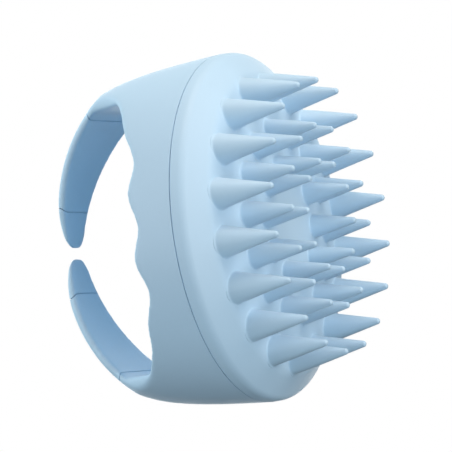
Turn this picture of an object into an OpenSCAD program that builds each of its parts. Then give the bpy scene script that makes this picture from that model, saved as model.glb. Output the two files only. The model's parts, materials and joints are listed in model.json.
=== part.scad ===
// Scalp massager brush. A round head carries three rings of cones on its front and a finger
// channel across its back, and two hinged arms with hinged tips close over the fingers.
// The cone tips stand on z = 0, the arms are on top, the fingers pass through along Y, and
// the arms reach in from +X (right) and -X (left). Millimetres and degrees.

/* [Head] */
// Diameter of the head at the seam between cap and shell
head_d = 88.4; // [84:0.2:96]
// Height of the face's rim above the cone tips
face_z = 15; // [12:0.1:18]
// How far the middle of the face bulges below its rim
face_dome = 3.7; // [1:0.1:4.5]
// Width of the sloping rim round the face
rim_w = 5.9; // [4:0.1:7.5]
// Height of the sloping rim
rim_h = 4.9; // [4:0.1:6.5]
// Height of the straight band between the rim and the seam
band_h = 3.3; // [3.2:0.1:5]
// Wall thickness of the cap and the shell
wall = 2.8; // [2.4:0.1:3.4]
// How much the shell narrows by the top of its wall, on the radius
shell_taper = 2.85; // [1.5:0.05:3.5]

/* [Cones] */
// Diameter of the outer ring of cones
outer_ring_d = 68.4; // [66:0.2:70]
// Diameter of the middle ring of cones
middle_ring_d = 45.7; // [40:0.1:50]
// Diameter of the inner ring of cones
inner_ring_d = 27.9; // [24:0.1:32]
// Number of cones in the outer ring
outer_count = 18; // [12:1:22]
// Number of cones in the middle ring
middle_count = 14; // [8:1:16]
// Number of cones in the inner ring
inner_count = 10; // [6:1:11]
// Base diameter of an outer cone
outer_base_d = 8; // [5:0.1:9]
// Base diameter of a middle cone
middle_base_d = 6.9; // [5:0.1:8]
// Base diameter of an inner cone
inner_base_d = 6.1; // [4:0.1:7]
// Diameter of a cone just above its rounded tip
cone_tip_d = 1.5; // [1:0.1:2.4]
// Turn of the outer ring, from +X
outer_turn = 2.2; // [0:0.1:20]
// Turn of the middle ring, from +X
middle_turn = 17.6; // [0:0.1:25]
// Turn of the inner ring, from +X
inner_turn = 23; // [0:0.1:36]

/* [Finger channel] */
// Height of the channel's floor above the seam, at mid-length
floor_h = 11.2; // [10.6:0.1:13]
// How much the floor has risen by the channel's end walls
floor_rise = 10; // [6:0.5:12]
// Distance from one finger groove to the next
finger_pitch = 16.4; // [14:0.2:20]
// Depth of the finger grooves
groove_depth = 2.3; // [1:0.1:3]
// Distance of the middle groove from the centre
groove_shift = 1.5; // [0:0.1:3]
// Length of the channel between its end walls
channel_l = 67.4; // [62:0.2:70]
// Radius of the scoop that narrows each end of the shell up to its arm
scoop_r = 35.3; // [33:0.1:38]

/* [Arms] */
// Radius of the arms' inner face
arm_inner_r = 42.7; // [41:0.1:43]
// Thickness of the arms along their middle
arm_t = 3.9; // [3.7:0.1:5]
// Thickness of the arms at their edges
arm_edge_t = 1.2; // [0.8:0.1:1.6]
// Width of the arms at the root hinges
arm_root_w = 25.2; // [22:0.2:30]
// Width of the arms if they reached the middle
arm_tip_w = 7.8; // [7:0.1:10]
// Gap between the two arm tips
arm_gap = 2.3; // [1.5:0.1:6]

/* [Hinges] */
// Angle of the root hinges from straight up
root_angle = 46.2; // [44:0.1:48]
// Angle of the tip hinges from straight up
tip_angle = 12.2; // [11:0.1:16]
// How far each arm opens
root_open = 25; // [10:1:28]
// How far each tip swings outward
tip_open = 20; // [10:1:24]
// How far each tip swings inward
tip_close = 12; // [4:1:14]
// Diameter of the hinge pins
pin_d = 1; // [0.8:0.05:1.1]
// Width of the root hinges' lugs
root_lug_w = 5.2; // [4:0.1:7]
// Width of the tip hinges' lugs
tip_lug_w = 2.6; // [2:0.1:3.2]
// Thickness of the friction washers
washer_t = 0.5; // [0.4:0.05:0.7]

/* [Fits] */
// Gap between parts that swing past each other
swing_clear = 0.25; // [0.2:0.01:0.35]
// Radial clearance of a pin in the part that turns on it
pin_clear = 0.04; // [0.02:0.01:0.08]

/* [Inside] */
// Thickness of the carrier plate
plate_t = 2; // [1.8:0.1:2.4]
// Diameter of the circle that the plate's screws stand on
screw_circle_d = 58; // [48:1:64]
// Diameter of the screw shanks
screw_d = 2.4; // [2:0.1:3]
// Thickness of the sealing ring
seal_d = 1.2; // [1:0.1:1.3]

/* [Hidden] */
$fn = 96;

// Colours
body_blue = [0.69, 0.81, 0.88];
metal = [0.72, 0.73, 0.75];
seal_grey = [0.30, 0.34, 0.38];
nylon = [0.90, 0.91, 0.90];

// Head
head_r = head_d / 2;
face_r = head_r - rim_w - 1.8;
crest_r = head_r - rim_w - 0.1;
crest_z = face_z + 0.3;
band_z = crest_z + rim_h - 0.3;
seam_z = band_z + band_h;
inner_r = head_r - wall;
function face_height(r) = face_z - face_dome * (1 - pow(r / face_r, 2));

// Finger channel
floor_z = seam_z + floor_h;
ceiling_z = floor_z - groove_depth / 2 - 2.4;
channel_half = channel_l / 2;
function groove_fade(x) = 1 - pow(abs(x) / channel_half, 3);
function floor_height(x) = floor_z + floor_rise * pow(x / channel_half, 4)
    - groove_depth / 2 * groove_fade(x) * cos(360 * (x - groove_shift) / finger_pitch);

// Arms
ring_z = seam_z + 6.3;
arm_outer_r = arm_inner_r + arm_t;
arm_edge_r = arm_inner_r + arm_edge_t;
nose_angle = 5.5;
thin_angle = 20;
tip_thinning = arm_t - arm_edge_t + 0.3;
end_angle = asin(arm_gap / 2 / arm_outer_r);
section_steps = 12;

// Hinges, each about an axis along Y at hinge_r from the ring's centre
hinge_r = arm_inner_r + 1.8;
root_knuckle_r = 2.5;
tip_knuckle_r = 2.2;
lug_r = 1.15;
neck_half_t = 0.6;
pin_r = pin_d / 2;
root_pin_blind = 6.5;
root_pin_open = 8;
tip_pin_blind = 3.1;
tip_pin_open = 3.9;
end_play = 0.1;

// Inside
plate_top_z = seam_z - 0.5;
plate_z = plate_top_z - plate_t;
lip_w = 0.8;
lip_t = 1.3;
head_r_screw = screw_d * 0.9;
head_h_screw = 1.3;
screw_depth = 6;
boss_r = screw_d / 2 + 2;
seal_r = head_r - wall / 2;

// Half width of an arm at an angle from straight up, with the rounded nose
function straight_half_w(a) = arm_tip_w / 2
    + (arm_root_w - arm_tip_w) / 2 * sin(a) / sin(root_angle);
function nose(a) = a >= nose_angle ? 1
    : sqrt(1 - 0.8 * pow((nose_angle - a) / (nose_angle - end_angle), 2));
function half_w(a) = straight_half_w(a) * nose(a);

// Radius of an arm's crown, which thins towards the nose
function crown_r(a) = a >= thin_angle ? arm_outer_r
    : arm_outer_r - tip_thinning * pow((thin_angle - a) / (thin_angle - end_angle), 2);

// One cross-section of an arm as [radius, y]: a flat inner face and a round back
function section(a) = concat(
    [[arm_inner_r, -half_w(a)], [arm_inner_r, half_w(a)]],
    [for (i = [0:section_steps])
        let (u = cos(180 * i / section_steps))
        [arm_edge_r + (crown_r(a) - arm_edge_r) * pow(max(0, 1 - u * u), 0.7), half_w(a) * u]]);

// Solid swept through the cross-sections from one angle to another
module swept_arm(from, to, steps) {
    count = section_steps + 3;
    points = [for (j = [0:steps])
        let (a = from + (to - from) * j / steps)
        for (p = section(a)) [p[0] * sin(a), p[1], ring_z + p[0] * cos(a)]];
    sides = [for (j = [0:steps - 1], i = [0:count - 1])
        let (k = (i + 1) % count, near = j * count, far = near + count)
        each [[near + i, far + i, far + k], [near + i, far + k, near + k]]];
    first = [for (i = [0:count - 1]) i];
    last = [for (i = [0:count - 1]) steps * count + count - 1 - i];
    polyhedron(points, concat(sides, [first, last]));
}

// Places children on a hinge: x runs away from the arm's free end, z runs outward
module at_hinge(angle) {
    translate([0, 0, ring_z]) rotate([0, angle, 0]) translate([0, 0, hinge_r]) children();
}

module along_y(r, from, to) {
    translate([0, to, 0]) rotate([90, 0, 0]) cylinder(r = r, h = to - from);
}

// The side of a hinge that swings, with its round knuckle
module swinging_side(knuckle_r) {
    along_y(knuckle_r, -20, 20);
    translate([-60, -20, -50]) cube([60, 40, 60]);
}

// What a hinge's fixed side leaves free for the swinging side
module swing_space(knuckle_r) {
    along_y(knuckle_r + swing_clear, -20, 20);
    translate([-16, -20, -4]) cube([16, 40, 10]);
}

// Lug on the fixed side, with its neck
module lug(width, reach) {
    along_y(lug_r, -width / 2, width / 2);
    translate([0, -width / 2, -neck_half_t]) cube([reach, width, 2 * neck_half_t]);
}

// Slot in the swinging side, wide enough for the neck through the whole swing
module lug_slot(width, outward, inward) {
    half = neck_half_t + swing_clear;
    reach = 5;
    slot_w = width + 2 * (washer_t + end_play);
    along_y(lug_r + swing_clear, -slot_w / 2, slot_w / 2);
    translate([0, slot_w / 2, 0]) rotate([90, 0, 0]) linear_extrude(slot_w)
        polygon([
            [-half * sin(inward), -half * cos(inward)],
            [reach * cos(inward) - half * sin(inward), -reach * sin(inward) - half * cos(inward)],
            [reach * cos(outward) - half * sin(outward),
             reach * sin(outward) + half * cos(outward)],
            [-half * sin(outward), half * cos(outward)]]);
}

module washers(width) {
    for (side = [0, 1]) mirror([0, side, 0]) difference() {
        along_y(lug_r, width / 2, width / 2 + washer_t);
        along_y(pin_r, 0, width);
    }
}

// Shape of the cap's outside, filled
module cap_outside() {
    steps = 10;
    rotate_extrude() polygon(concat(
        [for (i = [0:steps]) let (r = face_r * i / steps) [r, face_height(r)]],
        [[crest_r, crest_z], [head_r - 1, band_z - 0.7], [head_r - 0.2, band_z + 0.3],
         [head_r, seam_z], [0, seam_z]]));
}

module cap_inside() {
    steps = 8;
    floor_r = inner_r - 4;
    rotate_extrude() polygon(concat(
        [for (i = [0:steps]) let (r = floor_r * i / steps) [r, face_height(r) + wall]],
        [[inner_r, band_z + 0.2], [inner_r, seam_z + 1], [0, seam_z + 1]]));
}

module seal_shape() {
    translate([0, 0, seam_z]) rotate_extrude() translate([seal_r, 0]) circle(r = seal_d / 2);
}

module at_screws() {
    for (a = [45:90:315]) rotate([0, 0, a]) translate([screw_circle_d / 2, 0, 0]) children();
}

module channel() {
    top = arm_inner_r + ring_z;
    steps = 66;
    intersection() {
        rotate([90, 0, 0]) linear_extrude(head_d + 10, center = true)
            polygon(concat(
                [for (i = [0:steps]) let (x = channel_half * (2 * i / steps - 1))
                    [x, floor_height(x)]],
                [[channel_half, top + 1], [-channel_half, top + 1]]));
        translate([0, 0, ring_z]) along_y(arm_inner_r, -head_d, head_d);
    }
}

module cone_ring(ring_d, count, base_d, first_angle) {
    base_z = face_height(ring_d / 2);
    growth = (base_d - cone_tip_d) / 2 / base_z;
    top_z = base_z + 1.2;
    difference() {
        for (i = [0:count - 1]) rotate([0, 0, first_angle + 360 * i / count])
            translate([ring_d / 2, 0, 0]) rotate_extrude()
                polygon([[0, 0], [cone_tip_d / 4, 0], [cone_tip_d / 2, cone_tip_d / 3],
                         [base_d / 2 + growth * 1.2, top_z], [0, top_z]]);
        cap_outside();
    }
}

module back_shell() {
    shell_top_z = ring_z + arm_outer_r * cos(root_angle) + 2;
    taper_per_mm = shell_taper / 27.8;
    scoop_y = head_r + 1.8;
    scoop_z = ring_z + 42.5;
    color(body_blue) difference() {
        union() {
            difference() {
                intersection() {
                    translate([0, 0, seam_z]) cylinder(r1 = head_r, h = shell_top_z - seam_z,
                        r2 = head_r - taper_per_mm * (shell_top_z - seam_z));
                    translate([0, 0, ring_z]) sphere(r = arm_outer_r, $fn = 160);
                }
                channel();
                for (side = [0, 1]) mirror([0, side, 0]) translate([-head_d, scoop_y, scoop_z])
                    rotate([0, 90, 0]) cylinder(r = scoop_r, h = 2 * head_d);
                for (side = [0, 1]) mirror([side, 0, 0]) at_hinge(root_angle)
                    swing_space(root_knuckle_r);
                translate([0, 0, seam_z - 1]) cylinder(r = inner_r, h = ceiling_z - seam_z + 1);
            }
            for (side = [0, 1]) mirror([side, 0, 0]) at_hinge(root_angle) lug(root_lug_w, 4.2);
            at_screws() translate([0, 0, plate_top_z])
                cylinder(r = boss_r, h = ceiling_z - plate_top_z + 0.5);
        }
        seal_shape();
        for (side = [0, 1]) mirror([side, 0, 0]) at_hinge(root_angle)
            along_y(pin_r, -root_lug_w, root_lug_w);
        at_screws() translate([0, 0, plate_top_z - 1])
            cylinder(r = screw_d / 2, h = screw_depth + 1);
    }
}

module bristle_cap() {
    color(body_blue) difference() {
        cap_outside();
        cap_inside();
        seal_shape();
        translate([0, 0, plate_z]) cylinder(r = inner_r + lip_w, h = lip_t);
    }
}

module outer_bristles() {
    color(body_blue) cone_ring(outer_ring_d, outer_count, outer_base_d, outer_turn);
}

module middle_bristles() {
    color(body_blue) cone_ring(middle_ring_d, middle_count, middle_base_d, middle_turn);
}

module inner_bristles() {
    color(body_blue) cone_ring(inner_ring_d, inner_count, inner_base_d, inner_turn);
}

module carrier_plate() {
    color(body_blue) difference() {
        union() {
            translate([0, 0, plate_z]) cylinder(r = inner_r, h = plate_t);
            translate([0, 0, plate_z]) cylinder(r = inner_r + lip_w, h = lip_t);
        }
        at_screws() translate([0, 0, plate_z - 1])
            cylinder(r = screw_d / 2, h = plate_t + 2);
    }
}

module seal_ring() {
    color(seal_grey) seal_shape();
}

module plate_screws() {
    color(metal) at_screws() {
        translate([0, 0, plate_z - head_h_screw]) difference() {
            cylinder(r = head_r_screw, h = head_h_screw);
            translate([0, 0, -0.1]) cylinder(r = screw_d / 3, h = head_h_screw * 0.6, $fn = 6);
        }
        translate([0, 0, plate_z]) cylinder(r = screw_d / 2, h = plate_t + screw_depth - 0.5);
    }
}

// Fixed side of the tip hinge: recess, lug and a bore that grips the pin
module arm_blank() {
    difference() {
        union() {
            difference() {
                swept_arm(tip_angle - 1, root_angle + 5, 16);
                at_hinge(tip_angle) swing_space(tip_knuckle_r);
            }
            at_hinge(tip_angle) lug(tip_lug_w, 3.6);
        }
        at_hinge(tip_angle) along_y(pin_r, -tip_lug_w, tip_lug_w);
    }
}

module arm() {
    difference() {
        intersection() {
            arm_blank();
            at_hinge(root_angle) swinging_side(root_knuckle_r);
        }
        at_hinge(root_angle) lug_slot(root_lug_w, root_open, 0);
        at_hinge(root_angle) along_y(pin_r + pin_clear, -root_pin_blind - end_play, 20);
    }
}

module arm_tip() {
    difference() {
        intersection() {
            swept_arm(end_angle, tip_angle + 4.5, 12);
            at_hinge(tip_angle) swinging_side(tip_knuckle_r);
        }
        at_hinge(tip_angle) lug_slot(tip_lug_w, tip_open, tip_close);
        at_hinge(tip_angle) along_y(pin_r + pin_clear, -tip_pin_blind - end_play, 20);
    }
}

module tip_pin() {
    at_hinge(tip_angle) along_y(pin_r, -tip_pin_blind, tip_pin_open);
}

module right_arm() {
    color(body_blue) arm();
}

module left_arm() {
    color(body_blue) mirror([1, 0, 0]) arm();
}

module right_arm_tip() {
    color(body_blue) arm_tip();
}

module left_arm_tip() {
    color(body_blue) mirror([1, 0, 0]) arm_tip();
}

module root_pins() {
    color(metal) for (side = [0, 1]) mirror([side, 0, 0]) at_hinge(root_angle)
        along_y(pin_r, -root_pin_blind, root_pin_open);
}

module root_washers() {
    color(nylon) for (side = [0, 1]) mirror([side, 0, 0]) at_hinge(root_angle)
        washers(root_lug_w);
}

module right_tip_pin() {
    color(metal) tip_pin();
}

module left_tip_pin() {
    color(metal) mirror([1, 0, 0]) tip_pin();
}

module right_tip_washers() {
    color(nylon) at_hinge(tip_angle) washers(tip_lug_w);
}

module left_tip_washers() {
    color(nylon) mirror([1, 0, 0]) at_hinge(tip_angle) washers(tip_lug_w);
}

back_shell();
bristle_cap();
outer_bristles();
middle_bristles();
inner_bristles();
carrier_plate();
seal_ring();
plate_screws();
right_arm();
left_arm();
right_arm_tip();
left_arm_tip();
root_pins();
root_washers();
right_tip_pin();
left_tip_pin();
right_tip_washers();
left_tip_washers();
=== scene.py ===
"""The looks of a scalp massager brush: a round head with three rings of soft cones, a finger
channel across its back, and two hinged arms with hinged tips that close over the fingers.

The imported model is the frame. Its axes are +Z from the cone tips up to the arms, X along the
two arms and Y along the fingers. All lengths below are metres, written as millimetres times MM.
"""

import json
import math

import bpy
from mathutils import Matrix, Vector


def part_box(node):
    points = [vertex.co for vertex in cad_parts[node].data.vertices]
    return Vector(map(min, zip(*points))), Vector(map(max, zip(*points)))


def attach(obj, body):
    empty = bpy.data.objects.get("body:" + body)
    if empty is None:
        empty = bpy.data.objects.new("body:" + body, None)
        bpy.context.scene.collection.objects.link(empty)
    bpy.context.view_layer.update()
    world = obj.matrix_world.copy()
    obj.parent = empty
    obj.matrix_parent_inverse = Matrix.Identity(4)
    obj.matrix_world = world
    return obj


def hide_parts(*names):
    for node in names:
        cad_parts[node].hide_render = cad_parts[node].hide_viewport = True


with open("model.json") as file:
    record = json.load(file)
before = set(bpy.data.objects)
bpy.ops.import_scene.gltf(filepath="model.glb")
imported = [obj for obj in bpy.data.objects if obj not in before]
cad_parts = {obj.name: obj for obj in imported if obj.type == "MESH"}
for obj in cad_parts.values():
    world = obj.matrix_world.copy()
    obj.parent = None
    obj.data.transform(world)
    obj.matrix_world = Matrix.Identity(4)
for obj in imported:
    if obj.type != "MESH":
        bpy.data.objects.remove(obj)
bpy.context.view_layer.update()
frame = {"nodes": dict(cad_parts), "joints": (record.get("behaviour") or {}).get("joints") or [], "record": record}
MM = 0.001

# Points nearer to each other than this are one
MERGE = 1e-6

# ---------------------------------------------------------------------------------------------
# Places and sizes that the frame gives
# ---------------------------------------------------------------------------------------------

JOINTS = {joint["name"]: joint for joint in frame["joints"]}
ROOT_HINGE = Vector(JOINTS["right_root_hinge"]["pos_m"])
TIP_HINGE = Vector(JOINTS["right_tip_hinge"]["pos_m"])
ROOT_SWING = JOINTS["right_root_hinge"]["range_deg"]
TIP_SWING = JOINTS["right_tip_hinge"]["range_deg"]

HEAD_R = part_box("bristle_cap")[1].x
SEAM_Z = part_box("bristle_cap")[1].z
FACE_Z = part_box("bristle_cap")[0].z
NOSE_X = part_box("right_arm_tip")[0].x

# The two hinges of an arm lie on one circle about the ring's centre line
RING_Z = ((ROOT_HINGE.x ** 2 + ROOT_HINGE.z ** 2 - TIP_HINGE.x ** 2 - TIP_HINGE.z ** 2)
          / (2 * (ROOT_HINGE.z - TIP_HINGE.z)))
RING_CENTRE = Vector((0, 0, RING_Z))
HINGE_R = (ROOT_HINGE - RING_CENTRE).length
ROOT_ANGLE = math.atan2(ROOT_HINGE.x, ROOT_HINGE.z - RING_Z)
TIP_ANGLE = math.atan2(TIP_HINGE.x, TIP_HINGE.z - RING_Z)

# ---------------------------------------------------------------------------------------------
# Sizes of the moulded shapes
# ---------------------------------------------------------------------------------------------

# Arms
ARM_INNER_R = HINGE_R - 1.8 * MM
ARM_T = 3.9 * MM
ARM_EDGE_T = 1.2 * MM
ARM_OUTER_R = ARM_INNER_R + ARM_T
ARM_ROOT_W = 25.2 * MM
ARM_TIP_W = 7.8 * MM
NOSE_ANGLE = math.radians(5.5)
NOSE_NARROWING = 0.8
THIN_ANGLE = math.radians(20)
NOSE_UNDER_EDGE = 0.3 * MM
END_ANGLE = NOSE_X / ARM_OUTER_R
BURIED_ANGLE = math.radians(58)

# Finger channel
CHANNEL_HALF = 33.7 * MM
FLOOR_Z = SEAM_Z + 11.2 * MM
FLOOR_RISE = 10 * MM
FINGER_PITCH = 16.4 * MM
GROOVE_DEPTH = 2.3 * MM
GROOVE_SHIFT = 1.5 * MM
SCOOP_R = 35.3 * MM
SCOOP_Y = HEAD_R + 1.8 * MM
SCOOP_Z = RING_Z + 42.5 * MM
CAVITY_TOP = FLOOR_Z - 3.55 * MM

# Hinges: the knuckle is the round end of the swinging side, the lug the eye of the fixed side
ROOT_KNUCKLE_R = 2.5 * MM
TIP_KNUCKLE_R = 2.2 * MM
SWING_GAP = 0.25 * MM
LUG_R = 1.15 * MM
NECK_HALF_T = 0.6 * MM
ROOT_LUG_W = 5.2 * MM
TIP_LUG_W = 2.6 * MM
ROOT_LUG_REACH = 4.2 * MM
TIP_LUG_REACH = 3.6 * MM
FAN_REACH = 5 * MM
WASHER_ROOM = 0.6 * MM
BORE_R = 0.54 * MM
ROOT_BORE_BLIND = 6.6 * MM
TIP_BORE_BLIND = 3.2 * MM
CUT_ABOVE = 9 * MM
CUT_HALF_W = 20 * MM
STOCK_BELOW = 9 * MM
STOCK_PAST = 6 * MM

# Head
WALL = 2.8 * MM
RIM_W = 5.9 * MM
FACE_DOME = 3.7 * MM
GROOVE_W = 0.14 * MM
GROOVE_D = 0.4 * MM
FACE_R = HEAD_R - RIM_W - 1.8 * MM
CREST_IN, CREST_RISE, CREST_R = 6.15 * MM, 0.15 * MM, 5 * MM
CREASE_IN, CREASE_DROP, CREASE_R = 0.12 * MM, 3.2 * MM, 3 * MM

# The drum's wall: how far it leans in at heights above the seam. It bends over to the arms'
# circle, and the last place is where the wall's and the circle's directions meet.
WALL_LEAN = ((0.1 * MM, -4.2 * MM), (0, 0), (0.45 * MM, 6.3 * MM), (0.9 * MM, 11.8 * MM),
             (1.5 * MM, 17.3 * MM), (2.9 * MM, 28.2 * MM))
SHOULDER_START, SHOULDER_END = 32, 38

# Grain of the remeshed body and how far its edges are rounded
VOXEL = 0.45 * MM
ROUNDING_PASSES = 34

# Cones; over the lean height above the face a foot leans with the face's slope
CONE_TIP_R = 0.82 * MM
CONE_FOOT_R = 0.55 * MM
LEAN_H = 2 * MM

# Each ring of cones: its name, the node it replaces, its radius, how many cones, their
# diameter at the face and the first one's turn in degrees
RINGS = (
    ("outer_cones", "outer_bristles", 34.2 * MM, 18, 8.0 * MM, 2.2),
    ("middle_cones", "middle_bristles", 22.85 * MM, 14, 6.9 * MM, 17.6),
    ("inner_cones", "inner_bristles", 13.95 * MM, 10, 6.1 * MM, 23.0),
)


def face_height(r):
    """Height of the cap's face at a distance from the middle."""
    return FACE_Z + FACE_DOME * (r / FACE_R) ** 2


# ---------------------------------------------------------------------------------------------
# Modelling helpers
# ---------------------------------------------------------------------------------------------

def start():
    """Leaves edit mode with nothing selected."""
    if bpy.context.object and bpy.context.object.mode != "OBJECT":
        bpy.ops.object.mode_set(mode="OBJECT")
    bpy.ops.object.select_all(action="DESELECT")


def begin(name):
    """Names the new primitive and goes into edit mode on it with everything selected."""
    piece = bpy.context.object
    piece.name = name
    bpy.ops.object.mode_set(mode="EDIT")
    bpy.ops.mesh.select_mode(type="VERT")
    bpy.ops.mesh.select_all(action="SELECT")
    return piece


def finish_edit():
    """Merges doubles, turns the faces outwards and leaves edit mode."""
    bpy.ops.mesh.select_all(action="SELECT")
    bpy.ops.mesh.remove_doubles(threshold=MERGE)
    bpy.ops.mesh.normals_make_consistent(inside=False)
    bpy.ops.object.mode_set(mode="OBJECT")


def bake_place(piece):
    """Moves the object's place into its mesh."""
    start()
    piece.select_set(True)
    bpy.context.view_layer.objects.active = piece
    bpy.ops.object.transform_apply(location=True, rotation=True, scale=True)
    return piece


def lathe(name, profile, segments=192):
    """A closed solid turned about Z from (radius, height) points; the ends close flat."""
    start()
    radius, height = profile[0]
    bpy.ops.mesh.primitive_circle_add(vertices=segments, radius=radius, fill_type="NOTHING",
                                      location=(0, 0, height))
    piece = begin(name)
    bpy.ops.mesh.edge_face_add()
    bpy.ops.mesh.poke()
    bpy.ops.mesh.select_all(action="DESELECT")
    bpy.ops.mesh.select_non_manifold(extend=False)
    for next_radius, next_height in profile[1:]:
        bpy.ops.mesh.extrude_region_move()
        ratio = next_radius / radius
        bpy.ops.transform.translate(value=(0, 0, next_height - height))
        bpy.ops.transform.resize(value=(ratio, ratio, 1), center_override=(0, 0, next_height))
        radius, height = next_radius, next_height
    bpy.ops.mesh.edge_face_add()
    bpy.ops.mesh.poke()
    finish_edit()
    return bake_place(piece)


def outline_face(name, points):
    """A new piece, left in edit mode, with one flat face through the 3-D points."""
    start()
    bpy.ops.mesh.primitive_circle_add(vertices=3, radius=MM, fill_type="NOTHING",
                                      location=(0, 0, 0))
    piece = begin(name)
    bpy.ops.mesh.select_all(action="DESELECT")
    bpy.ops.object.mode_set(mode="OBJECT")
    for vertex in piece.data.vertices[1:]:
        vertex.select = True
    bpy.ops.object.mode_set(mode="EDIT")
    bpy.ops.mesh.delete(type="VERT")
    bpy.ops.mesh.select_all(action="SELECT")
    bpy.ops.transform.translate(value=Vector(points[0]) - Vector((0, MM, 0)))
    for place, next_place in zip(points, points[1:]):
        bpy.ops.mesh.extrude_vertices_move(
            TRANSFORM_OT_translate={"value": Vector(next_place) - Vector(place)})
    bpy.ops.mesh.select_all(action="SELECT")
    bpy.ops.mesh.edge_face_add()
    return piece


def outline_solid(name, points, half_width):
    """A solid with an X-Z outline, from -half_width to half_width along Y."""
    piece = outline_face(name, [(x, -half_width, z) for x, z in points])
    bpy.ops.mesh.extrude_region_move(
        TRANSFORM_OT_translate={"value": (0, 2 * half_width, 0)})
    finish_edit()
    return bake_place(piece)


def cylinder(name, radius, depth, centre, axis, vertices=96):
    """A plain cylinder with its place already in its mesh, for cutting with."""
    start()
    turn = {"X": (0, math.pi / 2, 0), "Y": (math.pi / 2, 0, 0), "Z": (0, 0, 0)}[axis]
    bpy.ops.mesh.primitive_cylinder_add(vertices=vertices, radius=radius, depth=depth,
                                        location=centre, rotation=turn)
    bpy.context.object.name = name
    return bake_place(bpy.context.object)


def apply_modifier(piece, kind, **settings):
    """Adds a modifier with its settings and applies it."""
    start()
    bpy.context.view_layer.objects.active = piece
    piece.select_set(True)
    modifier = piece.modifiers.new(kind.title(), kind)
    for setting, value in settings.items():
        setattr(modifier, setting, value)
    bpy.ops.object.modifier_apply(modifier=modifier.name)
    return piece


def boolean(piece, cutters, operation="DIFFERENCE"):
    """Cuts the cutters from the piece, or adds them, and removes them."""
    for cutter in cutters:
        apply_modifier(piece, "BOOLEAN", object=cutter, operation=operation, solver="EXACT")
        bpy.data.objects.remove(cutter)
    return piece


def copy_of(piece, name):
    """A copy with its own mesh."""
    start()
    piece.select_set(True)
    bpy.context.view_layer.objects.active = piece
    bpy.ops.object.duplicate()
    bpy.context.object.name = name
    return bpy.context.object


def join(pieces, name):
    """Joins the pieces into the first one."""
    start()
    for piece in pieces:
        piece.select_set(True)
    bpy.context.view_layer.objects.active = pieces[0]
    if len(pieces) > 1:
        bpy.ops.object.join()
    pieces[0].name = name
    return pieces[0]


def keep_side(piece, point, normal):
    """Cuts the piece with a plane and keeps what lies on the normal's side, closed."""
    start()
    bpy.context.view_layer.objects.active = piece
    piece.select_set(True)
    bpy.ops.object.mode_set(mode="EDIT")
    bpy.ops.mesh.select_all(action="SELECT")
    bpy.ops.mesh.bisect(plane_co=point, plane_no=normal, use_fill=True, clear_inner=True,
                        threshold=MERGE)
    bpy.ops.object.mode_set(mode="OBJECT")
    return piece


def mirrored(piece, name):
    """A copy mirrored to the other side of X = 0."""
    other = copy_of(piece, name)
    bpy.ops.object.mode_set(mode="EDIT")
    bpy.ops.mesh.select_all(action="SELECT")
    bpy.ops.transform.mirror(constraint_axis=(True, False, False), center_override=(0, 0, 0))
    bpy.ops.mesh.normals_make_consistent(inside=False)
    bpy.ops.object.mode_set(mode="OBJECT")
    return other


def smooth(piece, angle=35):
    """Shades the piece smooth up to an angle between faces in degrees."""
    start()
    bpy.context.view_layer.objects.active = piece
    piece.select_set(True)
    bpy.ops.object.shade_smooth_by_angle(angle=math.radians(angle))
    return piece


def arc(centre, radius, start_angle, end_angle, steps):
    """Points of a circle; angles in degrees from +X towards +Z."""
    points = []
    for step in range(steps + 1):
        angle = math.radians(start_angle + (end_angle - start_angle) * step / steps)
        points.append((centre[0] + radius * math.cos(angle), centre[1] + radius * math.sin(angle)))
    return points


def rounded(points, radii, steps=8):
    """The line through the points, with each corner replaced by an arc of its radius."""
    line = [points[0]]
    for before, corner, after, radius in zip(points, points[1:], points[2:], radii):
        corner = Vector(corner)
        to_before = (Vector(before) - corner).normalized()
        to_after = (Vector(after) - corner).normalized()
        half = to_before.angle(to_after) / 2
        reach = radius / math.tan(half)
        middle = corner + (to_before + to_after).normalized() * radius / math.sin(half)
        first = corner + to_before * reach
        last = corner + to_after * reach
        for step in range(steps + 1):
            along = (first - middle).lerp(last - middle, step / steps).normalized() * radius
            line.append(tuple(middle + along))
    line.append(points[-1])
    return line


def curve(start_point, control, end_point, steps=12):
    """Points of a smooth bend between two straight directions that meet at the control."""
    start_point, control, end_point = Vector(start_point), Vector(control), Vector(end_point)
    shares = [step / steps for step in range(steps + 1)]
    return [tuple(start_point.lerp(control, t).lerp(control.lerp(end_point, t), t))
            for t in shares]


def floor_height(x):
    """Height of the channel's wavy floor along X."""
    share = abs(x) / CHANNEL_HALF
    wave = math.cos(2 * math.pi * (x - GROOVE_SHIFT) / FINGER_PITCH)
    return FLOOR_Z + FLOOR_RISE * share ** 4 - GROOVE_DEPTH / 2 * (1 - share ** 3) * wave


# ---------------------------------------------------------------------------------------------
# The moulded body: head, horns and arms are shaped as one and then cut apart at their seams
# ---------------------------------------------------------------------------------------------

def drum():
    """The round head up to its horns: a wall that leans in and then follows the arms' circle."""
    *wall, wall_top, bend = [(HEAD_R - lean, SEAM_Z + height) for lean, height in WALL_LEAN]
    shoulder = arc((0, RING_Z), ARM_OUTER_R, SHOULDER_START, SHOULDER_END, 4)
    return lathe("drum", wall + curve(wall_top, bend, shoulder[0]) + shoulder[1:])


def finger_channel():
    """What the fingers take from the drum: a wavy floor, two end walls and a round ceiling."""
    columns = 60
    reach = CHANNEL_HALF
    floor = [(x, floor_height(x)) for x in
             (reach * (2 * step / columns - 1) for step in range(columns + 1))]
    turn = math.degrees(math.acos(reach / ARM_INNER_R))
    ceiling = arc((0, RING_Z), ARM_INNER_R, turn, 180 - turn, 40)
    return outline_solid("channel", floor + ceiling, HEAD_R + 6 * MM)


def scoops():
    """The two round cuts that narrow each end of the drum up to its horn."""
    return [cylinder("scoop", SCOOP_R, 3 * HEAD_R, (0, side * SCOOP_Y, SCOOP_Z), "X", 160)
            for side in (-1, 1)]


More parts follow.
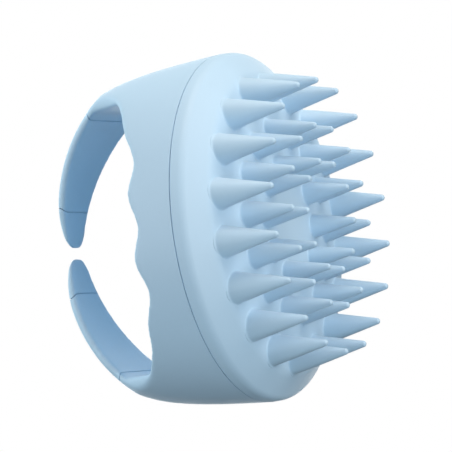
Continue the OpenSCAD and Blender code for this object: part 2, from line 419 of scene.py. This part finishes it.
def arm_half_width(angle):
    """Half the arm's width at an angle from the ring's top: straight sides and a round nose."""
    straight = (ARM_TIP_W + (ARM_ROOT_W - ARM_TIP_W) * math.sin(angle) / math.sin(ROOT_ANGLE)) / 2
    if angle >= NOSE_ANGLE:
        return straight
    along_nose = (NOSE_ANGLE - angle) / (NOSE_ANGLE - END_ANGLE)
    return straight * math.sqrt(1 - NOSE_NARROWING * along_nose ** 2)


def arm_thickness(angle):
    """The arm's thickness at an angle from the ring's top. It thins out towards the nose, to a
    little less than the edge strip's thickness."""
    if angle >= THIN_ANGLE:
        return ARM_T
    thinning = (THIN_ANGLE - angle) / (THIN_ANGLE - END_ANGLE)
    return ARM_T - (ARM_T - ARM_EDGE_T + NOSE_UNDER_EDGE) * thinning ** 2


def arm_bar():
    """The right arm from inside its horn to its nose. The growing end stays at the top of the
    ring, where it is widened or thinned, and all that is already made turns away from it."""
    steps = 40
    step_angle = (BURIED_ANGLE - END_ANGLE) / steps
    width = arm_half_width(BURIED_ANGLE)
    inner = Vector((0, 0, RING_Z + ARM_INNER_R))
    crown = [(0, width * y, inner.z + ARM_EDGE_T + (ARM_T - ARM_EDGE_T) * z)
             for y, z in arc((0, 0), 1, 0, 180, 20)]
    section = [(0, width, inner.z)] + crown + [(0, -width, inner.z)]
    piece = outline_face("arm_bar", section)
    thickness = ARM_T
    for step in range(1, steps + 1):
        angle = BURIED_ANGLE - step * step_angle
        bpy.ops.mesh.extrude_region_move()
        bpy.ops.mesh.select_all(action="INVERT")
        bpy.ops.transform.rotate(value=-step_angle, orient_axis="Y", center_override=RING_CENTRE)
        bpy.ops.mesh.select_all(action="INVERT")
        next_width, next_thickness = arm_half_width(angle), arm_thickness(angle)
        bpy.ops.transform.resize(value=(1, next_width / width, next_thickness / thickness),
                                 center_override=inner)
        width, thickness = next_width, next_thickness
    bpy.ops.mesh.select_all(action="SELECT")
    bpy.ops.transform.rotate(value=-END_ANGLE, orient_axis="Y", center_override=RING_CENTRE)
    finish_edit()
    return bake_place(piece)


def moulded_body():
    """Drum and arms in one skin with round edges."""
    body = boolean(drum(), [finger_channel()] + scoops())
    right = arm_bar()
    left = mirrored(right, "left_bar")
    body = join([body, right, left], "body")
    apply_modifier(body, "REMESH", mode="VOXEL", voxel_size=VOXEL, adaptivity=0)
    apply_modifier(body, "SMOOTH", factor=0.5, iterations=ROUNDING_PASSES)
    return body


def hinge_place(hinge, angle, points):
    """Points given in a hinge's own frame (x away from the arm's free end, z outward), placed."""
    across = Vector((math.cos(angle), -math.sin(angle)))
    outward = Vector((math.sin(angle), math.cos(angle)))
    origin = Vector((hinge.x, hinge.z))
    return [tuple(origin + across * x + outward * z) for x, z in points]


def swing_space(hinge, angle, knuckle_r, length, drop):
    """What a hinge's fixed side leaves free: the swinging side and the round of its knuckle."""
    knuckle = arc((0, 0), knuckle_r + SWING_GAP, -90, 90, 24)
    points = [(-length, -drop), (0, -drop)] + knuckle + [(0, CUT_ABOVE), (-length, CUT_ABOVE)]
    return outline_solid("swing_space", hinge_place(hinge, angle, points), CUT_HALF_W)


def beyond_knuckle(hinge, angle, knuckle_r, length, drop):
    """What a hinge's swinging side gives up: all that is past its round knuckle."""
    knuckle = arc((0, 0), knuckle_r, -90, 90, 24)
    points = [(length, -drop), (0, -drop)] + knuckle + [(0, CUT_ABOVE), (length, CUT_ABOVE)]
    return outline_solid("beyond", hinge_place(hinge, angle, points), CUT_HALF_W)


def lug(hinge, angle, width, reach):
    """The eye on a hinge's fixed side that the pin goes through, with its neck."""
    neck = [(0, -NECK_HALF_T), (reach, -NECK_HALF_T), (reach, NECK_HALF_T), (0, NECK_HALF_T)]
    return [cylinder("eye", LUG_R, width, hinge, "Y", 48),
            outline_solid("neck", hinge_place(hinge, angle, neck), width / 2)]


def lug_slots(hinge, angle, width, outward, inward):
    """The cutters for the slot in which the lug sits, open through the whole swing."""
    half, reach = NECK_HALF_T + SWING_GAP, FAN_REACH
    out_sin, out_cos = math.sin(math.radians(outward)), math.cos(math.radians(outward))
    in_sin, in_cos = math.sin(math.radians(inward)), math.cos(math.radians(inward))
    fan = [(-half * in_sin, -half * in_cos),
           (reach * in_cos - half * in_sin, -reach * in_sin - half * in_cos),
           (reach * out_cos - half * out_sin, reach * out_sin + half * out_cos),
           (-half * out_sin, half * out_cos)]
    slot_width = width + 2 * WASHER_ROOM
    return [cylinder("eye_room", LUG_R + SWING_GAP, slot_width, hinge, "Y", 48),
            outline_solid("fan", hinge_place(hinge, angle, fan), slot_width / 2)]


def pin_bore(hinge, blind):
    """The bore, from its blind end out through the +Y side."""
    middle = hinge + Vector((0, (CUT_HALF_W - blind) / 2, 0))
    return cylinder("bore", BORE_R, CUT_HALF_W + blind, middle, "Y", 48)


def with_mirror(piece):
    """The piece and its mirror image on the other side."""
    return [piece, mirrored(piece, piece.name + "_left")]


def seam_groove():
    """A thin ring that takes the shell's half of the groove along the seam."""
    inner, outer = HEAD_R - GROOVE_D, HEAD_R + MM
    low, high = SEAM_Z - MM, SEAM_Z + GROOVE_W
    ring = lathe("groove", [(outer, low), (outer, high)])
    return boolean(ring, [cylinder("core", inner, 6 * MM, (0, 0, SEAM_Z), "Z", 192)])


def back_shell(body):
    """The handle side of the head, cut off at the seam and at the two root hinges."""
    shell = keep_side(copy_of(body, "shell"), (0, 0, SEAM_Z), (0, 0, 1))
    cuts = with_mirror(swing_space(ROOT_HINGE, ROOT_ANGLE, ROOT_KNUCKLE_R,
                                   length=45 * MM, drop=20 * MM))
    cavity = cylinder("cavity", HEAD_R - WALL, 2 * (CAVITY_TOP - SEAM_Z), (0, 0, SEAM_Z), "Z", 160)
    boolean(shell, cuts + [cavity, seam_groove()])
    lugs = []
    for piece in lug(ROOT_HINGE, ROOT_ANGLE, ROOT_LUG_W, ROOT_LUG_REACH):
        lugs += with_mirror(piece)
    return smooth(join([shell] + lugs, "shell"))


def arm_stock(body):
    """The right arm's part of the body, with room past both hinges."""
    stock = keep_side(copy_of(body, "stock"), (0, 0, ROOT_HINGE.z - STOCK_BELOW), (0, 0, 1))
    stock = keep_side(stock, (0, 0, 0), (1, 0, 0))
    away = Vector((math.cos(ROOT_ANGLE), 0, -math.sin(ROOT_ANGLE)))
    return keep_side(stock, ROOT_HINGE + away * STOCK_PAST, -away)


def right_arm(stock):
    """The arm between its hinges: a knuckle at the root and a lug for the tip."""
    arm = copy_of(stock, "right_arm_skin")
    boolean(arm, [beyond_knuckle(ROOT_HINGE, ROOT_ANGLE, ROOT_KNUCKLE_R,
                                 length=20 * MM, drop=20 * MM),
                  swing_space(TIP_HINGE, TIP_ANGLE, TIP_KNUCKLE_R,
                              length=20 * MM, drop=12 * MM)]
            + lug_slots(ROOT_HINGE, ROOT_ANGLE, ROOT_LUG_W, ROOT_SWING[1], -ROOT_SWING[0])
            + [pin_bore(ROOT_HINGE, ROOT_BORE_BLIND)])
    tip_lug = lug(TIP_HINGE, TIP_ANGLE, TIP_LUG_W, TIP_LUG_REACH)
    return smooth(join([arm] + tip_lug, "right_arm_skin"))


def right_tip(stock):
    """The end piece past the tip hinge."""
    tip = copy_of(stock, "right_tip_skin")
    boolean(tip, [beyond_knuckle(TIP_HINGE, TIP_ANGLE, TIP_KNUCKLE_R,
                                 length=50 * MM, drop=40 * MM)]
            + lug_slots(TIP_HINGE, TIP_ANGLE, TIP_LUG_W, TIP_SWING[1], -TIP_SWING[0])
            + [pin_bore(TIP_HINGE, TIP_BORE_BLIND)])
    return smooth(tip)


# ---------------------------------------------------------------------------------------------
# Cap and cones
# ---------------------------------------------------------------------------------------------

def cap():
    """The front moulding: a domed face, a sloping rim and a straight band up to the seam."""
    face = [(r, face_height(r)) for r in (0.5 * MM, *(2.5 * MM * step for step in range(1, 15)))]
    crest = (HEAD_R - CREST_IN, FACE_Z + FACE_DOME + CREST_RISE)
    crease = (HEAD_R - CREASE_IN, SEAM_Z - CREASE_DROP)
    lip = SEAM_Z - GROOVE_W
    edge = rounded([face[-1], crest, crease, (HEAD_R, lip)], [CREST_R, CREASE_R])
    top = [(HEAD_R - GROOVE_D, lip), (HEAD_R - GROOVE_D, SEAM_Z), (HEAD_R - WALL, SEAM_Z),
           (HEAD_R - WALL, SEAM_Z - 3 * MM), (HEAD_R - WALL - 4 * MM, face_height(FACE_R) + WALL)]
    inside = [(r, face_height(r) + WALL) for r in (30 * MM, 20 * MM, 10 * MM, 0.5 * MM)]
    return smooth(lathe("cap", face + edge[1:] + top + inside, 224), 30)


def cone(ring_r, base_d):
    """One cone at its place on the face: a round nose, a straight flank and a flared foot that
    leans with the domed face."""
    height = face_height(ring_r)
    slope = 2 * FACE_DOME * ring_r / FACE_R ** 2
    nose = arc((0, CONE_TIP_R), CONE_TIP_R, -84, -10, 9)
    foot = rounded([nose[-1], (base_d / 2, height), (base_d / 2 + MM, height + 0.15 * MM)],
                   [CONE_FOOT_R])
    skirt = [(foot[-2][0] + 0.3 * MM, height + 0.8 * MM)]
    flank = [tuple(Vector(foot[0]).lerp(Vector(foot[1]), share)) for share in (0.25, 0.5, 0.75)]
    piece = lathe("cone", nose + flank + foot[1:-1] + skirt, 48)
    for vertex in piece.data.vertices:
        share = min(1, max(0, (vertex.co.z - height + LEAN_H) / LEAN_H))
        vertex.co.z += slope * vertex.co.x * share * share * (3 - 2 * share)
        vertex.co.x += ring_r
    return piece


def cone_ring(name, ring_r, count, base_d, first_turn):
    """A ring of copies of one cone."""
    master = cone(ring_r, base_d)
    cones = []
    for place in range(count):
        one = copy_of(master, "cone_copy")
        one.rotation_euler.z = math.radians(first_turn + 360 * place / count)
        cones.append(bake_place(one))
    bpy.data.objects.remove(master)
    return smooth(join(cones, name), 40)


# ---------------------------------------------------------------------------------------------
# Materials
# ---------------------------------------------------------------------------------------------

BODY_BLUE = (0.41, 0.605, 0.775, 1)


class Wire:
    """A value in a material: an output socket that can be reckoned with."""

    def __init__(self, paint, socket):
        self.paint = paint
        self.socket = socket

    def _math(self, operation, first, second):
        return self.paint.node("ShaderNodeMath", {"operation": operation}, {0: first, 1: second})

    def __add__(self, other):
        return self._math("ADD", self, other)

    def __radd__(self, other):
        return self._math("ADD", other, self)

    def __sub__(self, other):
        return self._math("SUBTRACT", self, other)

    def __rsub__(self, other):
        return self._math("SUBTRACT", other, self)

    def __mul__(self, other):
        return self._math("MULTIPLY", self, other)

    def __rmul__(self, other):
        return self._math("MULTIPLY", other, self)


class Paint:
    """A material or a world under construction, with one way of adding any node."""

    def __init__(self, block):
        self.block = block
        self.block.use_nodes = True
        self.tree = self.block.node_tree
        self.tree.nodes.clear()

    def put(self, socket, value):
        """Links a wire to the socket, or sets a plain value on it."""
        if isinstance(value, Wire):
            self.tree.links.new(value.socket, socket)
        else:
            socket.default_value = value

    def node(self, kind, settings=None, inputs=None, output=0):
        """Adds a node with its settings and its sockets' values, and gives one output."""
        made = self.tree.nodes.new(kind)
        for setting, value in (settings or {}).items():
            setattr(made, setting, value)
        for socket, value in (inputs or {}).items():
            self.put(made.inputs[socket], value)
        return Wire(self, made.outputs[output])

    def place(self):
        """The place on the piece, in metres."""
        return self.node("ShaderNodeTexCoord", output="Object")

    def noise(self, size, detail=2.0, roughness=0.5, stretch=(1, 1, 1)):
        """Cloudy noise from 0 to 1 whose features are about size metres across."""
        spread = self.node("ShaderNodeMapping", {}, {"Vector": self.place(), "Scale": stretch})
        return self.node("ShaderNodeTexNoise", {"noise_dimensions": "3D"},
                         {"Vector": spread, "Scale": 1 / size, "Detail": detail,
                          "Roughness": roughness})

    def mix(self, share, first, second):
        """A colour between two colours."""
        return self.node("ShaderNodeMix", {"data_type": "RGBA"},
                         {0: share, 6: first, 7: second}, output=2)

    def bump(self, height, depth, strength=1.0, under=None):
        """A normal from a height from 0 to 1 that stands for depth metres, over another one."""
        inputs = {"Height": height, "Distance": depth, "Strength": strength}
        if under:
            inputs["Normal"] = under
        return self.node("ShaderNodeBump", {}, inputs)

    def principled(self, **sockets):
        """The main shader; its sockets are named with _ for a space."""
        inputs = {name.replace("_", " "): value for name, value in sockets.items()}
        return self.node("ShaderNodeBsdfPrincipled", {}, inputs)

    def finish(self, shader, kind="ShaderNodeOutputMaterial"):
        """Ends the material or world with its surface shader and gives it back."""
        out = self.tree.nodes.new(kind)
        self.tree.links.new(shader.socket, out.inputs["Surface"])
        return self.block


def soft_touch(name, colour, roughness, grain):
    """Moulded plastic or silicone with a fine eggshell skin, even in colour but never flat."""
    paint = Paint(bpy.data.materials.new(name))
    clouds = paint.noise(22 * MM, detail=3)
    skin = paint.noise(grain, detail=2, roughness=0.6)
    waves = paint.noise(5 * MM, detail=1)
    deep = tuple(0.93 * channel for channel in colour[:3]) + (1,)
    pale = tuple(min(1, 1.04 * channel) for channel in colour[:3]) + (1,)
    tone = paint.mix(0.7 * clouds + 0.3 * skin, deep, pale)
    rough = roughness + 0.10 * (clouds - 0.5) + 0.08 * (skin - 0.5)
    normal = paint.bump(skin, 0.018 * MM, 0.6, under=paint.bump(waves, 0.02 * MM, 0.35))
    return paint.finish(paint.principled(
        Base_Color=tone, Roughness=rough, Normal=normal, IOR=1.45, Specular_IOR_Level=0.5,
        Sheen_Weight=0.15, Sheen_Roughness=0.6))


def turned_steel():
    """Pin and screw steel with fine drawn lines."""
    paint = Paint(bpy.data.materials.new("turned_steel"))
    lines = paint.noise(0.25 * MM, detail=2, stretch=(1, 0.08, 1))
    smear = paint.noise(1.5 * MM, detail=2)
    tone = paint.mix(lines, (0.50, 0.51, 0.53, 1), (0.66, 0.67, 0.69, 1))
    return paint.finish(paint.principled(
        Base_Color=tone, Metallic=1.0, Roughness=0.26 + 0.14 * smear,
        Normal=paint.bump(lines, 0.01 * MM, 0.5)))


def plain_moulding(name, colour, roughness, grain):
    """Inner mouldings: a faint sparked texture and slight flow marks."""
    paint = Paint(bpy.data.materials.new(name))
    spark = paint.noise(grain, detail=3, roughness=0.7)
    flow = paint.noise(9 * MM, detail=2, stretch=(1, 1, 0.3))
    dark = tuple(0.86 * channel for channel in colour[:3]) + (1,)
    tone = paint.mix(flow, dark, colour)
    return paint.finish(paint.principled(
        Base_Color=tone, Roughness=roughness + 0.12 * (spark - 0.5),
        Normal=paint.bump(spark, 0.03 * MM, 0.6)))


def dress(piece, material):
    """Gives the piece its one material."""
    piece.data.materials.clear()
    piece.data.materials.append(material)


# ---------------------------------------------------------------------------------------------
# Putting the brush together
# ---------------------------------------------------------------------------------------------

def build():
    """Makes the outer pieces, which replace their CAD nodes, and dresses the inner nodes."""
    shell_skin = soft_touch("soft_touch_shell", BODY_BLUE, 0.52, 0.45 * MM)
    cone_skin = soft_touch("silicone_cones", BODY_BLUE, 0.50, 0.35 * MM)
    arm_skin = soft_touch("soft_touch_arms", BODY_BLUE, 0.52, 0.45 * MM)
    steel = turned_steel()
    nylon = plain_moulding("nylon", (0.78, 0.79, 0.77, 1), 0.42, 0.3 * MM)
    plate = plain_moulding("plate_moulding", (0.55, 0.60, 0.64, 1), 0.5, 0.5 * MM)
    seal = plain_moulding("seal_rubber", (0.08, 0.10, 0.12, 1), 0.7, 0.2 * MM)

    body = moulded_body()
    shell = back_shell(body)
    stock = arm_stock(body)
    arm, tip = right_arm(stock), right_tip(stock)
    bpy.data.objects.remove(body)
    bpy.data.objects.remove(stock)
    pieces = [
        (shell, "head", "back_shell", "shell", shell_skin),
        (cap(), "head", "bristle_cap", "shell", shell_skin),
        (arm, "right_arm", "right_arm", "arms", arm_skin),
        (mirrored(arm, "left_arm_skin"), "left_arm", "left_arm", "arms", arm_skin),
        (tip, "right_tip", "right_arm_tip", "arms", arm_skin),
        (mirrored(tip, "left_tip_skin"), "left_tip", "left_arm_tip", "arms", arm_skin),
    ]
    for name, node, ring_r, count, base_d, first_turn in RINGS:
        ring = cone_ring(name, ring_r, count, base_d, first_turn)
        pieces.append((ring, "head", node, "cones", cone_skin))
    for piece, rides_on, node, slot, material in pieces:
        dress(piece, material)
        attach(piece, rides_on)
        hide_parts(node)

    finishes = {"steel": steel, "nylon": nylon, "plate": plate, "seal": seal}
    slots = {part["node"]: part["material_slot"] for part in frame["record"]["subparts"]}
    for node, piece in frame["nodes"].items():
        if slots[node] in finishes:
            dress(piece, finishes[slots[node]])


# ---------------------------------------------------------------------------------------------
# Floor, light and camera
# ---------------------------------------------------------------------------------------------

# The camera's own axes, which the lights are placed along too
CAMERA_RIGHT = Vector((-0.12306, 0.42817, -0.89528)).normalized()
CAMERA_BACK = Vector((-0.05756, -0.90370, -0.42428)).normalized()
CAMERA_UP = CAMERA_BACK.cross(CAMERA_RIGHT)
CAMERA_PLACE = Vector((-59.6, -955.8, -419.1)) * MM
CAMERA_LENS = 334.1
LIGHT_DISTANCE = 0.6
LIGHT_SIZE = 0.5
FLOOR_SIZE = 1.6
FLOOR_DROP = 0.02 * MM
FADE_START = 0.08
FADE_END = 0.5

NEUTRAL = (1, 1, 1)
WARM = (1, 0.86, 0.76)
COOL = (0.66, 0.9, 1)

# Each soft light's direction from the brush, as (right, up, back) of the camera, its watts
# and its tint
SOFTBOXES = {
    "above": ((0, 1, 0.2), 2.7, WARM),
    "above_right": ((0.8, 0.8, 0.3), 1.5, WARM),
    "above_behind": ((0, 1, -0.7), 1.1, COOL),
    "left": ((-1, 0, 0.3), 2.2, NEUTRAL),
    "left_behind": ((-1, 0.2, -0.7), 1.9, COOL),
    "front": ((0, 0, 1), 0.9, NEUTRAL),
    "front_right": ((0.8, 0.1, 0.8), 2.4, NEUTRAL),
    "below": ((0, -1, 0.2), 0.7, COOL),
    "behind": ((0, 0, -1), 2.6, NEUTRAL),
}


def floor():
    """A pale floor under the cone tips that fades into the white room all round. From below
    it is clear, and it shades nothing."""
    start()
    bpy.ops.mesh.primitive_plane_add(size=FLOOR_SIZE, location=(0, 0, -FLOOR_DROP))
    ground = bpy.context.object
    ground.name = "floor"
    paint = Paint(bpy.data.materials.new("pale_floor"))
    tone = paint.mix(paint.noise(0.3), (0.86, 0.83, 0.81, 1), (0.89, 0.86, 0.84, 1))
    shader = paint.principled(Base_Color=tone, Roughness=0.9)
    clear = paint.node("ShaderNodeBsdfTransparent")
    distance = paint.node("ShaderNodeVectorMath", {"operation": "LENGTH"}, {0: paint.place()},
                          output="Value")
    fade = paint.node("ShaderNodeMapRange", {"interpolation_type": "SMOOTHSTEP"},
                      {"Value": distance, "From Min": FADE_START, "From Max": FADE_END})
    below = paint.node("ShaderNodeNewGeometry", output="Backfacing")
    unseen = paint.node("ShaderNodeMath", {"operation": "MAXIMUM"}, {0: below, 1: fade})
    both = paint.node("ShaderNodeMixShader", {}, {0: unseen, 1: shader, 2: clear})
    dress(ground, paint.finish(both))
    ground.visible_shadow = False
    ground.visible_diffuse = False
    ground.visible_glossy = False


def white_room():
    """Pure white where the camera looks past the brush; all the light is the softboxes'."""
    sky = Paint(bpy.data.worlds.new("white_room"))
    seen = sky.node("ShaderNodeLightPath", output="Is Camera Ray")
    white = sky.node("ShaderNodeBackground", {}, {"Color": (1, 1, 1, 1), "Strength": seen})
    bpy.context.scene.world = sky.finish(white, "ShaderNodeOutputWorld")


def softbox(name, direction, power, tint):
    """A square soft light that faces the brush."""
    light = bpy.data.lights.new(name, "AREA")
    light.shape = "SQUARE"
    light.size = LIGHT_SIZE
    light.energy = power
    light.color = tint
    lamp = bpy.data.objects.new(name, light)
    right, up, back = direction
    towards = (CAMERA_RIGHT * right + CAMERA_UP * up + CAMERA_BACK * back).normalized()
    lamp.location = RING_CENTRE + towards * LIGHT_DISTANCE
    lamp.rotation_mode = "QUATERNION"
    lamp.rotation_quaternion = towards.to_track_quat("Z", "Y")
    bpy.context.scene.collection.objects.link(lamp)


def camera():
    """Looks at the cones from in front of and below the head, with the arms to the left."""
    data = bpy.data.cameras.new("camera")
    data.sensor_width = 36
    data.lens = CAMERA_LENS
    data.clip_start, data.clip_end = 0.01, 20
    eye = bpy.data.objects.new("camera", data)
    turn = Matrix((CAMERA_RIGHT, CAMERA_UP, CAMERA_BACK)).transposed().to_4x4()
    eye.matrix_world = Matrix.Translation(CAMERA_PLACE) @ turn
    bpy.context.scene.collection.objects.link(eye)
    bpy.context.scene.camera = eye


build()
floor()
white_room()
for light_name, light_settings in SOFTBOXES.items():
    softbox(light_name, *light_settings)
camera()
bpy.context.scene.view_settings.view_transform = "Standard"
